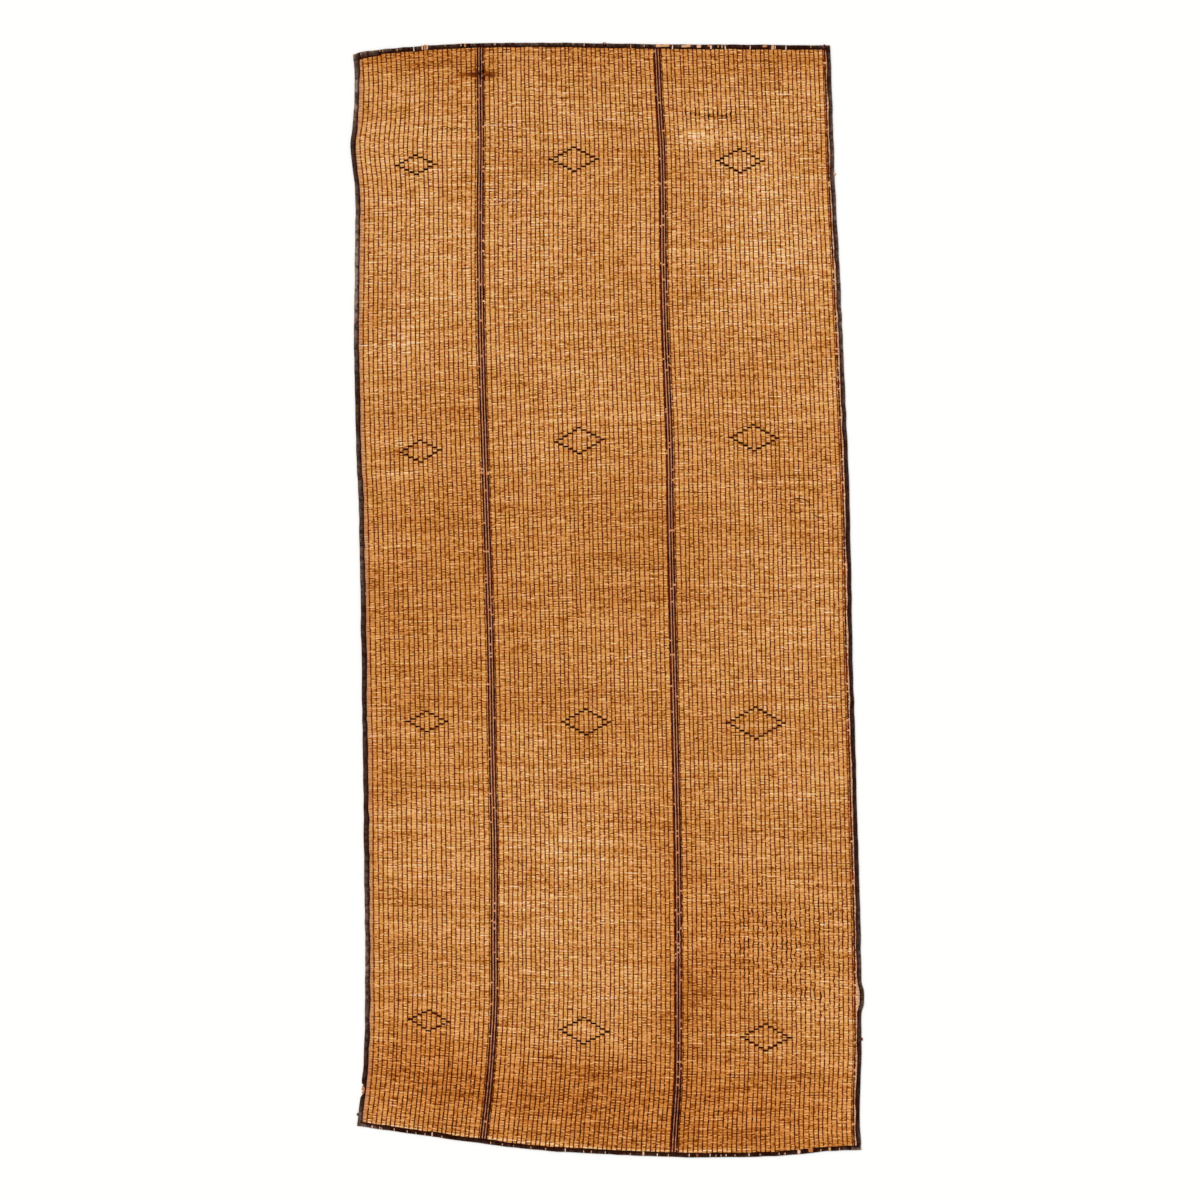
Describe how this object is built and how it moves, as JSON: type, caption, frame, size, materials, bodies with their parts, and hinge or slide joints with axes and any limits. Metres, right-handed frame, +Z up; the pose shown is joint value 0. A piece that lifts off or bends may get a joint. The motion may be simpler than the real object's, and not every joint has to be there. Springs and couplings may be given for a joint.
{
  "type": "tuareg mat",
  "caption": "Long flat floor mat of crosswise palm reeds held by lengthwise leather thongs, with dark dividing bands, small stitched diamonds and folded leather bindings.",
  "frame": {"origin": "on the floor under the middle of the mat's outline", "axes": "+X to the right across the mat seen from above, +Y along the mat to its head, +Z up out of its face"},
  "size_m": [1.82, 3.9556, 0.0052],
  "materials": {
    "palm_reed": "sun-browned palm reed, satin, uneven in colour from reed to reed",
    "thong_leather": "narrow goatskin thong, dark brown to burgundy, dull",
    "binding_leather": "folded dark brown leather, worn, soft sheen"
  },
  "bodies": {
    "root": {"mat_panel": "palm_reed", "binding_left": "binding_leather", "binding_right": "binding_leather", "binding_head": "binding_leather", "binding_foot": "binding_leather"}
  },
  "joints": []
}
